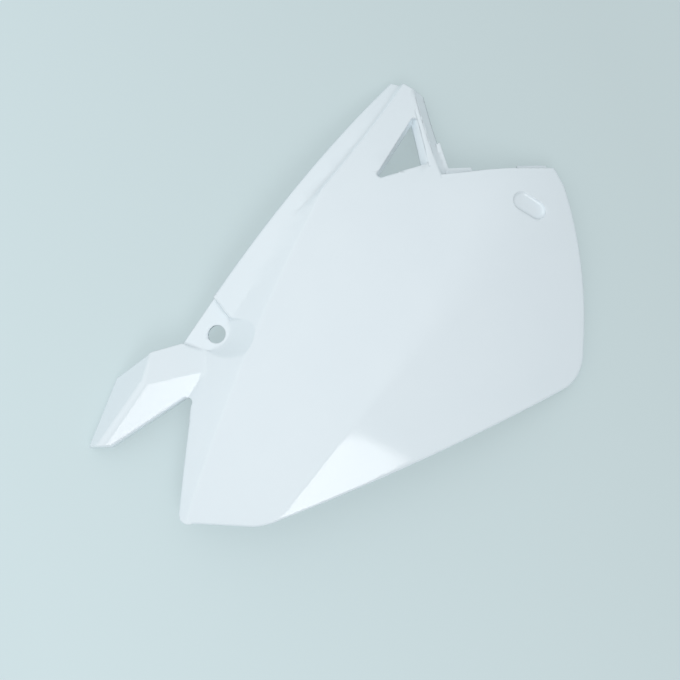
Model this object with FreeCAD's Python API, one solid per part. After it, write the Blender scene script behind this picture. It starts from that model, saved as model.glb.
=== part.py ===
import FreeCAD, Part
import math
import os

# Sizes in millimetres, angles in degrees.
# X runs to the rear of the bike, Y up the bike and Z out of the panel's face.
wall = 2.5
rim_depth = 7.0
floor_level = -6.0

# The furthest points of the outline, from the middle of the deck.
horn_reach = 224.6
rear_reach = 222.0
arm_reach = 149.3
lower_reach = 147.0

# How far the outline's ends and edges lean, bow and drop.
horn_end_width = 17.3
rear_lean = 25.0
rear_flare = 1.2
arm_end_bow = 6.0
arm_end_drop = 14.3
lower_bow = 7.5

# Lengths that run well past the panel on every side.
reach = 600.0
margin = 35.0

# The deck is the large crowned face; its rear part is folded down along a diagonal.
deck_radius = 700.0
deck_peak = (-12.5, -12.0, 52.0)
fold_low = (-117.5, -122.0)
fold_high = (161.5, -9.0)
fold_angle = 8.5
fold_crisp_end = (-35.5, -89.0)
fold_radius_low = 4.0
fold_radius_crisp = 25.0
fold_radius_high = 350.0

# The arm carries on from the deck's top edge to the seat.
arm_crease_front = (35.0, 82.5)
arm_crease_rear = (137.0, 48.0)
arm_angle = 3.6

# The riser is the slope from the deck's front edge down to the flange.
riser_top = arm_crease_front
riser_foot = (-180.5, -86.0)
riser_slope = 31.0
riser_radius = 5.0
arm_riser_front = (37.5, 86.0)
arm_riser_rear = (145.0, 138.5)
arm_riser_slope = 60.0
arm_riser_radius = 2.0

# The flange is the low ledge along the front edge, arched along its length.
flange_radius = 450.0
flange_peak = (-5.5, 73.5, 37.7)
flange_heading = 23.2
flange_tilt = 14.7

# The horn in front of the flange has three flat facets that meet at its ridge.
horn_tip = (-218.0, -2.0, 13.9)
horn_ridge = (-162.0, 22.0, 31.0)
horn_root = (-113.0, 7.5, 27.5)
horn_elbow = (-179.0, 43.5, -2.0)
horn_shoulder = (-118.0, 37.0, 22.0)
horn_ridge_radius = 7.0
horn_crest_radius = 2.0
horn_elbow_radius = 4.0
horn_length_inside = 100.0

# The bolt pad is sunk in the flange's front end, with a cone cut into the riser behind it.
pad_centre = (-96.0, 36.5)
pad_radius = 16.5
pad_wall_slope = 46.0
pad_rear_outer = (-78.5, 60.0)
pad_rear_inner = (-75.3, 34.5)
pad_front_inner = (-101.2, 19.6)
cone_rear_end = (-56.0, 17.0)
hole_centre = (-90.5, 29.5, 24.0)
hole_radius = 7.5
pad_tilt = 13.7
pad_heading = 141.0

# The three-cornered window in the arm leaves a strut behind it, with sloped sides.
window_top = (143.0, 111.5)
window_front = (79.5, 74.0)
window_rear = (126.5, 65.0)
window_corner = 3.0
window_slope = 69.0
strut_top = (151.5, 126.0)
strut_bottom = (132.0, 60.5)
strut_slope = 46.0
strut_radius = 3.0

# The notch behind the strut runs on as the deck's top edge.
notch_low = (129.0, 52.0)
notch_high = (156.5, 142.0)
top_edge_inset = 46.5
top_edge_middle = (rear_reach - top_edge_inset, 34.8)
top_edge_rear = (rear_reach + rear_flare, 14.0)
notch_clear = (rear_reach + 2 * margin, 100.0)

# The oval recess near the rear top corner.
recess_inset = 39.0
recess_centre = (rear_reach - recess_inset, -4.5)
recess_length = 31.0
recess_width = 17.0
recess_heading = -57.0
recess_depth = 3.5
recess_round = 2.5

# Two thin tabs on the top edge slip under the seat and the rear fender.
tab_drop = 4.5
front_tab = [
    (143.0, 78.5), (146.6, 78.5), (139.9, 54.6), (157.5, 46.8),
    (155.5, 40.5), (137.0, 47.0), (134.0, 56.0),
]
rear_tab_inset = 31.5
rear_tab_front = rear_reach - rear_tab_inset
rear_tab_length = 23.5
rear_tab_lean = 2.75
rear_tab = [
    (rear_tab_front, 25.0), (rear_tab_front + rear_tab_lean, 31.0),
    (rear_tab_front + rear_tab_length + rear_tab_lean, 20.5), (rear_tab_front + rear_tab_length, 14.0),
]

# The outline's other corners and bends, in order round the panel.
horn_end_high = (-horn_reach, 4.1)
horn_back = (-141.5, 42.5)
flange_bend = (-70.0, 60.2)
flange_middle = (37.0, 107.4)
arm_end_front = (142.5, arm_reach)
arm_end_middle = (148.0, arm_reach - arm_end_bow)
arm_end_rear = (152.5, arm_reach - arm_end_drop)
rear_top = (rear_reach, 22.0)
rear_upper = (rear_reach - rear_flare, -2.0)
rear_middle = (rear_reach - rear_lean, -69.0)
rear_lower = (163.5, -127.0)
lower_corner = (152.5, -140.0)
lower_rear = (135.0, -lower_reach)
lower_middle = (8.5, lower_bow - lower_reach)
lower_front = (-117.5, -124.0)
lower_bend = (-128.5, -122.0)
front_lower = (-139.0, -118.0)
front_corner_low = (-179.0, -92.0)
front_corner = (-185.5, -87.0)
front_corner_high = (-185.5, -80.0)
gap_low = (-136.0, -10.5)
gap_end = (-133.4, -5.5)
gap_high = (-137.0, -2.5)
horn_end_low = (horn_end_width - horn_reach, -6.2)

V = FreeCAD.Vector


def ball(centre, radius):
    solid = Part.makeSphere(radius)
    solid.rotate(V(0, 0, 0), V(1, 0, 0), 90)
    solid.translate(centre)
    return solid


def spot(point):
    return V(point[0], point[1], 0)


def half_space(point, normal):
    box = Part.makeBox(2 * reach, 2 * reach, reach, V(-reach, -reach, -reach))
    box.Placement = FreeCAD.Placement(point, FreeCAD.Rotation(V(0, 0, 1), normal))
    return box


def under_plane(p, q, r, depth):
    normal = (q - p).cross(r - p).normalize()
    if normal.z < 0:
        normal = normal * -1
    return half_space(p - normal * depth, normal)


def across(p, q):
    along = spot(q) - spot(p)
    return V(-along.y, along.x, 0).normalize()


def leaning(heading, tilt):
    a = math.radians(heading)
    b = math.radians(tilt)
    return V(math.cos(a) * math.sin(b), math.sin(a) * math.sin(b), math.cos(b))


def line(p, q):
    return Part.makeLine(spot(p), spot(q))


def arc(p, q, r):
    return Part.Arc(spot(p), spot(q), spot(r)).toShape()


def polygon(points):
    return Part.makePolygon([spot(p) for p in points] + [spot(points[0])])


def upright(wire, grow):
    face = Part.Face(wire)
    if grow != 0:
        face = face.makeOffset2D(grow)
    face.translate(V(0, 0, -reach / 6))
    return face.extrude(V(0, 0, reach / 3))


outline = Part.Wire([
    line(horn_end_low, horn_end_high),
    line(horn_end_high, horn_elbow),
    line(horn_elbow, horn_back),
    line(horn_back, horn_shoulder),
    line(horn_shoulder, flange_bend),
    arc(flange_bend, flange_middle, arm_end_front),
    arc(arm_end_front, arm_end_middle, arm_end_rear),
    line(arm_end_rear, rear_top),
    line(rear_top, rear_upper),
    arc(rear_upper, rear_middle, rear_lower),
    arc(rear_lower, lower_corner, lower_rear),
    arc(lower_rear, lower_middle, lower_front),
    arc(lower_front, lower_bend, front_lower),
    line(front_lower, front_corner_low),
    arc(front_corner_low, front_corner, front_corner_high),
    line(front_corner_high, gap_low),
    arc(gap_low, gap_end, gap_high),
    line(gap_high, horn_end_low),
])

window = polygon([window_top, window_front, window_rear])

notch = Part.Wire([
    arc(notch_low, top_edge_middle, top_edge_rear),
    line(top_edge_rear, notch_clear),
    line(notch_clear, notch_high),
    line(notch_high, notch_low),
])

deck_centre = V(*deck_peak) - V(0, 0, deck_radius)


def on_ball(centre, point):
    x = point[0] - centre.x
    y = point[1] - centre.y
    return V(point[0], point[1], centre.z + math.sqrt(deck_radius ** 2 - x * x - y * y))


def on_deck(point):
    return on_ball(deck_centre, point)


def deck_turned(p, q, angle):
    start = on_deck(p)
    return start + FreeCAD.Rotation(on_deck(q) - start, angle).multVec(deck_centre - start)


rear_centre = deck_turned(fold_low, fold_high, fold_angle)
arm_centre = deck_turned(arm_crease_front, arm_crease_rear, -arm_angle)
riser_centre = deck_turned(riser_foot, riser_top, -riser_slope)


def on_arm(point):
    return on_ball(arm_centre, point)


def side_slope(p, q, slope, depth):
    start = on_arm(p)
    along = on_arm(q) - start
    fall = math.radians(slope)
    normal = across(p, q) * math.sin(fall) + V(0, 0, math.cos(fall))
    normal = normal - along * (normal.dot(along) / along.dot(along))
    normal.normalize()
    return half_space(start - normal * depth, normal)


def field():
    box = outline.BoundBox
    corner = V(box.XMin - margin, box.YMin - margin, -reach / 6)
    return Part.makeBox(box.XLength + 2 * margin, box.YLength + 2 * margin, reach / 2, corner)


def edge_sliver(block, p, q, radius):
    ends = [Part.Vertex(p), Part.Vertex(q)]
    edges = [e for e in block.Edges if max(e.distToShape(end)[0] for end in ends) < 0.01]
    return block.cut(block.makeFillet(radius, edges))


def is_fold(edge, solid):
    faces = solid.ancestorsOfType(edge, Part.Face)
    return len(faces) == 2 and all(f.Surface.TypeId == "Part::GeomSphere" for f in faces)


def fold_sliver(block, near, low, high):
    edge = [e for e in block.Edges if is_fold(e, block)][0]
    first = edge.Vertexes[0].Point
    last = edge.Vertexes[-1].Point
    if first.distanceToPoint(near) > last.distanceToPoint(near):
        low, high = high, low
    return block.cut(block.makeFillet(low, high, [edge]))


def folded_deck(depth):
    block = ball(deck_centre, deck_radius - depth)
    block = block.common(ball(rear_centre, deck_radius - depth))
    block = block.common(field())
    if depth >= fold_radius_low:
        return block
    split = spot(fold_crisp_end)
    along = spot(fold_high) - spot(fold_low)
    start = spot(fold_low) - along
    crisp = block.common(half_space(split, along))
    soft = block.common(half_space(split, along * -1))
    crisp = fold_sliver(crisp, start, fold_radius_low - depth, fold_radius_crisp - depth)
    soft = fold_sliver(soft, start, fold_radius_crisp - depth, fold_radius_high - depth)
    return block.cut([crisp, soft], 0.01)


def deck(depth):
    arm_side = side_slope(arm_riser_front, arm_riser_rear, arm_riser_slope, depth)
    arm_ball = ball(arm_centre, deck_radius - depth)
    riser_ball = ball(riser_centre, deck_radius - depth)
    block = folded_deck(depth).common(arm_ball).common(riser_ball).common(arm_side)
    if depth > 0:
        return block
    deck_ball = ball(deck_centre, deck_radius).common(field())
    riser_edge = deck_ball.common(riser_ball)
    side_edge = arm_ball.common(field()).common(arm_side)
    block = block.cut(edge_sliver(riser_edge, on_deck(riser_foot), on_deck(riser_top), riser_radius))
    return block.cut(edge_sliver(side_edge, on_arm(arm_riser_front), on_arm(arm_riser_rear), arm_riser_radius))


def flange(depth):
    normal = leaning(flange_heading + 90, flange_tilt)
    block = ball(V(*flange_peak) - normal * flange_radius, flange_radius - depth)
    block = block.common(half_space(spot(riser_foot), across(arm_riser_rear, riser_foot)))
    front = across(pad_front_inner, horn_shoulder)
    return block.common(half_space(spot(horn_shoulder) - front * (wall / 2 + depth), front))


def horn(depth):
    tip = V(*horn_tip)
    ridge = V(*horn_ridge)
    root = V(*horn_root)
    elbow = V(*horn_elbow)
    shoulder = V(*horn_shoulder)
    top = under_plane(shoulder, ridge, root, depth)
    lower = under_plane(ridge, root, tip, depth)
    side = under_plane(ridge, tip, elbow, depth)
    block = top.common(lower).common(side)
    if depth == 0:
        fall = (ridge - shoulder).cross(root - ridge).cross((tip - ridge).cross(elbow - ridge))
        block = block.cut(edge_sliver(lower.common(side), ridge, tip, horn_ridge_radius))
        block = block.cut(edge_sliver(top.common(lower), ridge, root, horn_crest_radius))
        block = block.cut(edge_sliver(top.common(side), ridge, ridge + fall.normalize(), horn_elbow_radius))
    return block.common(half_space(ridge + V(horn_length_inside, 0, 0), V(1, 0, 0)))


def pad_cut(depth):
    slope = math.radians(pad_wall_slope)
    radius = pad_radius + depth / math.sin(slope)
    sink = radius * math.tan(slope) / 2
    rise = reach / 3
    cone = Part.makeCone(radius / 2, radius + rise / math.tan(slope), sink + rise, V(0, 0, -sink))
    cone.rotate(V(0, 0, 0), V(0, 0, 1), pad_heading)
    cone.translate(V(pad_centre[0], pad_centre[1], hole_centre[2]))
    rear = across(pad_rear_inner, cone_rear_end)
    cone = cone.common(half_space(spot(pad_rear_inner) + rear * depth, rear))
    past_shoulder = spot(horn_shoulder) * 1.2 - spot(pad_front_inner) * 0.2
    floor = polygon([past_shoulder, pad_rear_outer, pad_rear_inner, pad_front_inner])
    normal = leaning(pad_heading, pad_tilt)
    return cone.fuse(upright(floor, depth)).cut(half_space(V(*hole_centre) - normal * depth, normal))


def recess_cut(depth):
    point = on_ball(rear_centre, recess_centre)
    normal = (point - rear_centre).normalize()
    half = (recess_length - recess_width) / 2
    radius = recess_width / 2 + depth
    a = V(-half, -radius, 0)
    b = V(half, -radius, 0)
    c = V(half, radius, 0)
    d = V(-half, radius, 0)
    rear_end = Part.Arc(b, V(half + radius, 0, 0), c).toShape()
    front_end = Part.Arc(d, V(-half - radius, 0, 0), a).toShape()
    loop = Part.Wire([Part.makeLine(a, b), rear_end, Part.makeLine(c, d), front_end])
    block = Part.Face(loop).extrude(V(0, 0, 10 * recess_depth))
    block = block.makeFillet(recess_round + depth, [e for e in block.Edges if e.BoundBox.ZMax < 0.1])
    block.rotate(V(0, 0, 0), V(0, 0, 1), recess_heading)
    lean = FreeCAD.Rotation(V(0, 0, 1), normal)
    block.Placement = FreeCAD.Placement(point - normal * (recess_depth + depth), lean).multiply(block.Placement)
    return block


def skin(depth):
    block = deck(depth).fuse(flange(depth)).fuse(horn(depth))
    block = block.cut(pad_cut(depth))
    return block.cut(recess_cut(depth))


def window_cut(depth):
    block = upright(window, 0)
    corners = [e for e in block.Edges if abs(e.tangentAt(e.FirstParameter).z) > 0.9]
    block = block.makeFillet(window_corner, corners)
    if depth > 0:
        foot = sorted(block.Faces, key=lambda f: f.CenterOfMass.z)[0]
        block = foot.makeOffset2D(depth).extrude(V(0, 0, reach / 3))
    block = block.cut(side_slope(window_top, window_front, window_slope, depth))
    return block.cut(side_slope(window_rear, window_top, strut_slope, depth))


def notch_cut(depth):
    return upright(notch, depth).cut(side_slope(strut_top, strut_bottom, strut_slope, depth))


def strut_edge(p, q, space):
    block = ball(arm_centre, deck_radius).common(field()).common(side_slope(p, q, strut_slope, 0))
    return edge_sliver(block, on_arm(p), on_arm(q), strut_radius).common(upright(space, strut_radius))


def shape_between(depth, inset):
    block = skin(depth).common(upright(outline, -inset))
    return block.cut(window_cut(inset)).cut(notch_cut(inset))


panel = shape_between(0, 0)
panel = panel.cut(strut_edge(window_rear, window_top, window))
panel = panel.cut(strut_edge(strut_top, strut_bottom, notch))
panel = panel.cut(shape_between(wall, wall))
panel = panel.cut(skin(rim_depth))
panel = panel.common(half_space(V(0, 0, floor_level), V(0, 0, -1)))

tab_band = deck(tab_drop).cut(deck(rim_depth))
panel = panel.fuse(tab_band.common(upright(polygon(front_tab), 0)))
panel = panel.fuse(tab_band.common(upright(polygon(rear_tab), 0)))

bolt = leaning(pad_heading, pad_tilt)
bolt_start = V(*hole_centre) - bolt * 2 * hole_radius
panel = panel.cut(Part.makeCylinder(hole_radius, 4 * hole_radius, bolt_start, bolt))

# The origin is under the middle of the panel, level with the points it lies on.
box = panel.optimalBoundingBox(False)
panel.translate(V(-(box.XMin + box.XMax) / 2, -(box.YMin + box.YMax) / 2, -box.ZMin))

os.makedirs("parts", exist_ok=True)
panel.exportStep("parts/side_panel.step")
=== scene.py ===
import math

import bmesh
import bpy
from mathutils import Euler, Matrix, Vector
from mathutils.kdtree import KDTree


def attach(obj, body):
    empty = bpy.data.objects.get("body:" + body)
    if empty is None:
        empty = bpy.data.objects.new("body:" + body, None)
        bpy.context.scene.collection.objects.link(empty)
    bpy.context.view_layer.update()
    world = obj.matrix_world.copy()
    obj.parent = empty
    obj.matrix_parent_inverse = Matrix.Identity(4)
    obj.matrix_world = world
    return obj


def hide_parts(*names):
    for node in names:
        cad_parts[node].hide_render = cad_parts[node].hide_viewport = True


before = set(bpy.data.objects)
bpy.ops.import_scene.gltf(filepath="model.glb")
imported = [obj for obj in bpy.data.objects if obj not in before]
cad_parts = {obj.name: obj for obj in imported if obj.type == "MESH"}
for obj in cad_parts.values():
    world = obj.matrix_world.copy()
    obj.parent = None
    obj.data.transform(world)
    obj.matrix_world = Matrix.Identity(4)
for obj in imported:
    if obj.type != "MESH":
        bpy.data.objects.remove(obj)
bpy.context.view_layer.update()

scene = bpy.context.scene
scene.view_settings.view_transform = "Standard"


# The panel is one injection moulding of white polypropylene, 2.5 mm thick, with a rim turned
# in all round. It comes out of a polished mould, so it has a soft gloss, faint flow waves and
# a fine grain, and it is held by one bolt through the sunk pad and two tabs under the seat.
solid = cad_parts["side_panel"]
same_point = 0.00001
moulding = bmesh.new()
moulding.from_mesh(solid.data)
bmesh.ops.remove_doubles(moulding, verts=moulding.verts, dist=same_point)
moulding.normal_update()

# The outer edge of the rim is rounded where the outline is smooth. The places named here keep
# the small radii of the mould's inserts. Each has its middle, seen from above, and its reach.
rim_radius = 0.0018
rim_bend = math.radians(30)
face_rise = 0.30
wall_rise = 0.25
pad_middle = Vector((-0.0945, 0.0290))
crisp_places = {
    "sunk pad": (pad_middle, 0.0360),
    "gap beside the horn": (Vector((-0.1310, -0.0090)), 0.0180),
    "back of the horn": (Vector((-0.1400, 0.0410)), 0.0060),
    "front corner": (Vector((-0.1820, -0.0900)), 0.0070),
    "recess": (Vector((0.1845, -0.0057)), 0.0220),
    "window and strut": (Vector((0.1450, 0.0900)), 0.0520),
    "top edge and rear tab": (Vector((0.1950, 0.0350)), 0.0352),
}


def is_rounded_rim(edge):
    if edge.calc_face_angle_signed(0) < rim_bend:
        return False
    rises = [face.normal.z for face in edge.link_faces]
    if max(rises) < face_rise or min(rises) > wall_rise:
        return False
    middle = ((edge.verts[0].co + edge.verts[1].co) / 2).xy
    return all((middle - place).length > reach for place, reach in crisp_places.values())


bmesh.ops.bevel(
    moulding,
    geom=[edge for edge in moulding.edges if is_rounded_rim(edge)],
    offset=rim_radius,
    offset_type="OFFSET",
    segments=4,
    profile=0.5,
    affect="EDGES",
    clamp_overlap=False,
    material=-1,
)

# The walls of the sunk pad run into the faces round them in soft curves, and the fold dies out
# near the rear tab. The outer skin there is cut into small squares and eased, while the outline
# and the bolt hole stay where they are.
tab_middle = Vector((0.2040, 0.0200))
eased_places = [(pad_middle, 0.034), (tab_middle, 0.021)]
pad_floor = Vector((-0.08527, 0.05084, 0.02726))
pad_floor_normal = Vector((-0.18, 0.15, 0.97)).normalized()
pad_floor_slack = 0.0003
pad_wall_foot = 0.0275
pad_wall_top = 0.0450
skin_rise = 0.15
overhang = -0.05
square = 0.0015
on_the_cut = 0.00002
border = 0.0022
easing_rounds = 14


def is_near(face, middle, reach):
    for axis in (0, 1):
        places = [vert.co[axis] for vert in face.verts]
        if min(places) > middle[axis] + reach or max(places) < middle[axis] - reach:
            return False
    return True


def is_pad_wall(face):
    faces_pad = face.normal.xy.dot(pad_middle - face.calc_center_median().xy) > 0
    heights = [(vert.co - pad_floor).dot(pad_floor_normal) for vert in face.verts]
    return face.normal.z > overhang and faces_pad and min(heights) > -pad_floor_slack


def is_outer_skin(face, middle, reach):
    return is_near(face, middle, reach) and (face.normal.z > skin_rise or is_pad_wall(face))


for middle, reach in eased_places:
    for axis in (0, 1, 2):
        faces = [face for face in moulding.faces if is_outer_skin(face, middle, reach)]
        if axis == 2:
            faces = [face for face in faces if face.normal.z < skin_rise]
            start, end = pad_wall_foot, pad_wall_top
        else:
            start, end = middle[axis] - reach, middle[axis] + reach
        edges = dict.fromkeys(edge for face in faces for edge in face.edges)
        verts = dict.fromkeys(vert for face in faces for vert in face.verts)
        skin = [*faces, *edges, *verts]
        across = Vector((0, 0, 0))
        across[axis] = 1
        for cut in range(round((end - start) / square) + 1):
            skin = bmesh.ops.bisect_plane(
                moulding,
                geom=skin,
                dist=on_the_cut,
                plane_co=across * (start + cut * square),
                plane_no=across,
            )["geom"]
        moulding.normal_update()
    inside = []
    fixed = []
    for vert in moulding.verts:
        if all(is_outer_skin(face, middle, reach) for face in vert.link_faces):
            inside.append(vert)
        else:
            fixed.append(vert)
    fixed_places = KDTree(len(fixed))
    for number, vert in enumerate(fixed):
        fixed_places.insert(vert.co, number)
    fixed_places.balance()
    eased = []
    for vert in inside:
        nearest_fixed, number, distance = fixed_places.find(vert.co)
        if (vert.co.xy - middle).length < reach and distance > border:
            eased.append(vert)
    for easing_round in range(easing_rounds):
        bmesh.ops.smooth_vert(
            moulding, verts=eased, factor=0.5, use_axis_x=True, use_axis_y=True, use_axis_z=True
        )

bmesh.ops.triangulate(
    moulding,
    faces=[face for face in moulding.faces if len(face.verts) > 4],
    quad_method="BEAUTY",
    ngon_method="BEAUTY",
)
crisp_bend = math.radians(32)
panel_mesh = bpy.data.meshes.new("moulded_panel")
moulding.to_mesh(panel_mesh)
moulding.free()
for face in panel_mesh.polygons:
    face.use_smooth = True
panel_mesh.set_sharp_from_angle(angle=crisp_bend)

panel = bpy.data.objects.new("moulded_panel", panel_mesh)
scene.collection.objects.link(panel)
even_shade = panel.modifiers.new("even shading", "WEIGHTED_NORMAL")
even_shade.keep_sharp = True
even_shade.weight = 50
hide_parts("side_panel")
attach(panel, "root")

white_plastic = bpy.data.materials.new("white_moulded_polypropylene")
white_plastic.use_nodes = True
nodes = white_plastic.node_tree.nodes
links = white_plastic.node_tree.links
nodes.clear()

output = nodes.new("ShaderNodeOutputMaterial")
plastic = nodes.new("ShaderNodeBsdfPrincipled")
plastic.inputs["IOR"].default_value = 1.49
links.new(plastic.outputs["BSDF"], output.inputs["Surface"])
panel_place = nodes.new("ShaderNodeTexCoord")


def clouds(scale, detail, roughness):
    noise = nodes.new("ShaderNodeTexNoise")
    noise.inputs["Scale"].default_value = scale
    noise.inputs["Detail"].default_value = detail
    noise.inputs["Roughness"].default_value = roughness
    links.new(panel_place.outputs["Object"], noise.inputs["Vector"])
    return noise.outputs["Fac"]


def relief(height, strength, distance, normal):
    bump = nodes.new("ShaderNodeBump")
    bump.inputs["Strength"].default_value = strength
    bump.inputs["Distance"].default_value = distance
    links.new(height, bump.inputs["Height"])
    links.new(normal, bump.inputs["Normal"])
    return bump.outputs["Normal"]


# Slow clouds in the resin shift the white by one or two parts in a hundred.
resin = clouds(scale=14.0, detail=4.0, roughness=0.55)
resin_tint = nodes.new("ShaderNodeValToRGB")
resin_tint.color_ramp.elements[0].position = 0.3
resin_tint.color_ramp.elements[0].color = (0.768, 0.850, 0.897, 1)
resin_tint.color_ramp.elements[1].position = 0.7
resin_tint.color_ramp.elements[1].color = (0.786, 0.866, 0.911, 1)
links.new(resin, resin_tint.inputs["Fac"])
links.new(resin_tint.outputs["Color"], plastic.inputs["Base Color"])

# The gloss is a little uneven, where the panel has been handled and wiped.
handling = clouds(scale=32.0, detail=6.0, roughness=0.6)
gloss = nodes.new("ShaderNodeMapRange")
gloss.inputs["From Min"].default_value = 0.3
gloss.inputs["From Max"].default_value = 0.7
gloss.inputs["To Min"].default_value = 0.08
gloss.inputs["To Max"].default_value = 0.12
links.new(handling, gloss.inputs["Value"])
links.new(gloss.outputs["Result"], plastic.inputs["Roughness"])

# Small inside and outside corners are softened by the mould's own radius of about a millimetre.
# Flow waves from the mould are centimetres long, and the grain is under a millimetre.
mould_radius = nodes.new("ShaderNodeBevel")
mould_radius.samples = 6
mould_radius.inputs["Radius"].default_value = 0.0012
flow = clouds(scale=22.0, detail=1.0, roughness=0.5)
grain = clouds(scale=1400.0, detail=2.0, roughness=0.5)
wavy = relief(flow, strength=0.25, distance=0.0004, normal=mould_radius.outputs["Normal"])
grained = relief(grain, strength=0.05, distance=0.0001, normal=wavy)
links.new(grained, plastic.inputs["Normal"])

panel_mesh.materials.append(white_plastic)


# The panel lies face up on a plain pale table, which only takes its shadow. The table shows
# itself partly at its own pale level. Painted shade, standing in for the light falling off
# across the table, makes that level a little darker toward the panel's rear end.
table_half_width = 4.0
table_own_share = 0.67
painted_shade_direction = (0.98, -0.19, 0.0)
table_mesh = bpy.data.meshes.new("table")
table_form = bmesh.new()
bmesh.ops.create_grid(table_form, x_segments=1, y_segments=1, size=table_half_width)
table_form.to_mesh(table_mesh)
table_form.free()
table = bpy.data.objects.new("table", table_mesh)
scene.collection.objects.link(table)

table_paint = bpy.data.materials.new("pale_table")
table_paint.use_nodes = True
table_nodes = table_paint.node_tree.nodes
table_links = table_paint.node_tree.links
table_shader = table_nodes["Principled BSDF"]
table_shader.inputs["Base Color"].default_value = (0.655, 0.775, 0.800, 1)
table_shader.inputs["Roughness"].default_value = 0.8
table_shader.inputs["Specular IOR Level"].default_value = 0.1

# Painted shade: the table's glow colour darkens along one direction, in place of uneven light on
# the table.
table_place = table_nodes.new("ShaderNodeTexCoord")
table_run = table_nodes.new("ShaderNodeVectorMath")
table_run.operation = "DOT_PRODUCT"
table_run.inputs[1].default_value = painted_shade_direction
table_links.new(table_place.outputs["Object"], table_run.inputs[0])
painted_shade_fade = table_nodes.new("ShaderNodeMapRange")
painted_shade_fade.inputs["From Min"].default_value = -0.30
painted_shade_fade.inputs["From Max"].default_value = 0.30
table_links.new(table_run.outputs["Value"], painted_shade_fade.inputs["Value"])
table_glow_with_painted_shade = table_nodes.new("ShaderNodeValToRGB")
table_glow_with_painted_shade.color_ramp.elements[0].color = (0.632, 0.758, 0.788, 1)
table_glow_with_painted_shade.color_ramp.elements[1].color = (0.485, 0.575, 0.590, 1)
table_links.new(painted_shade_fade.outputs["Result"], table_glow_with_painted_shade.inputs["Fac"])
table_glow = table_nodes.new("ShaderNodeEmission")
table_links.new(table_glow_with_painted_shade.outputs["Color"], table_glow.inputs["Color"])

table_seen = table_nodes.new("ShaderNodeLightPath")
shown = table_seen.outputs["Is Camera Ray"]
for ray in ("Is Glossy Ray", "Is Transmission Ray"):
    either = table_nodes.new("ShaderNodeMath")
    either.operation = "ADD"
    either.use_clamp = True
    table_links.new(shown, either.inputs[0])
    table_links.new(table_seen.outputs[ray], either.inputs[1])
    shown = either.outputs["Value"]
table_share = table_nodes.new("ShaderNodeMath")
table_share.operation = "MULTIPLY"
table_share.inputs[1].default_value = table_own_share
table_links.new(shown, table_share.inputs[0])
table_mix = table_nodes.new("ShaderNodeMixShader")
table_links.new(table_share.outputs["Value"], table_mix.inputs["Fac"])
table_links.new(table_shader.outputs["BSDF"], table_mix.inputs[1])
table_links.new(table_glow.outputs["Emission"], table_mix.inputs[2])
table_links.new(table_mix.outputs["Shader"], table_nodes["Material Output"].inputs["Surface"])
table_mesh.materials.append(table_paint)


# The light is a pale room, brighter overhead and toward the panel's front and upper edge, and
# one lamp the size of a window high above its lower edge, which the horn's lower facet and the
# low corner of the fold mirror.
room_brightest = Vector((-0.27, 0.53, 0.80)).normalized()
world = bpy.data.worlds.new("pale room")
scene.world = world
world.use_nodes = True
sky = world.node_tree.nodes
sky_links = world.node_tree.links
sky_place = sky.new("ShaderNodeTexCoord")
overhead = sky.new("ShaderNodeVectorMath")
overhead.operation = "DOT_PRODUCT"
overhead.inputs[1].default_value = room_brightest
sky_links.new(sky_place.outputs["Generated"], overhead.inputs[0])
room = sky.new("ShaderNodeValToRGB")
room.color_ramp.elements[0].position = 0.0
room.color_ramp.elements[0].color = (0.205, 0.21, 0.215, 1)
room.color_ramp.elements[1].position = 1.0
room.color_ramp.elements[1].color = (1.09, 1.11, 1.12, 1)
sky_links.new(overhead.outputs["Value"], room.inputs["Fac"])
sky_links.new(room.outputs["Color"], sky["Background"].inputs["Color"])
sky["Background"].inputs["Strength"].default_value = 1.03

lit_spot = Vector((-0.06, -0.10, 0.046))
lamp_distance = 3.0
toward_lamp = Vector((-0.1263, -0.5934, 0.795)).normalized()
along_lamp = Vector((0.820, 0.429, 0.379))
along_lamp = (along_lamp - toward_lamp * along_lamp.dot(toward_lamp)).normalized()
lamp_axes = (along_lamp, toward_lamp.cross(along_lamp), toward_lamp)
lamp_turn = Matrix(lamp_axes).transposed().to_4x4()
window_lamp_data = bpy.data.lights.new("window lamp", "AREA")
window_lamp_data.shape = "RECTANGLE"
window_lamp_data.size = 1.82
window_lamp_data.size_y = 1.11
window_lamp_data.energy = 29.0
window_lamp = bpy.data.objects.new("window lamp", window_lamp_data)
scene.collection.objects.link(window_lamp)
window_lamp.matrix_world = Matrix.Translation(lit_spot + toward_lamp * lamp_distance) @ lamp_turn


# The camera looks down on the panel's face from nearly a metre above it, a little from its
# lower edge, and is turned so that the rear end stands up to the right.
camera_place = Vector((-0.082518, -0.1448, 0.91706))
camera_tilt = math.radians(9.1015)
camera_roll = math.radians(-0.4102)
camera_heading = math.radians(-29.9864)
camera_turn = Euler((camera_tilt, camera_roll, camera_heading)).to_matrix().to_4x4()
camera_data = bpy.data.cameras.new("camera")
camera_data.sensor_width = 36.0
camera_data.lens = 59.56
camera = bpy.data.objects.new("camera", camera_data)
scene.collection.objects.link(camera)
camera.matrix_world = Matrix.Translation(camera_place) @ camera_turn
scene.camera = camera
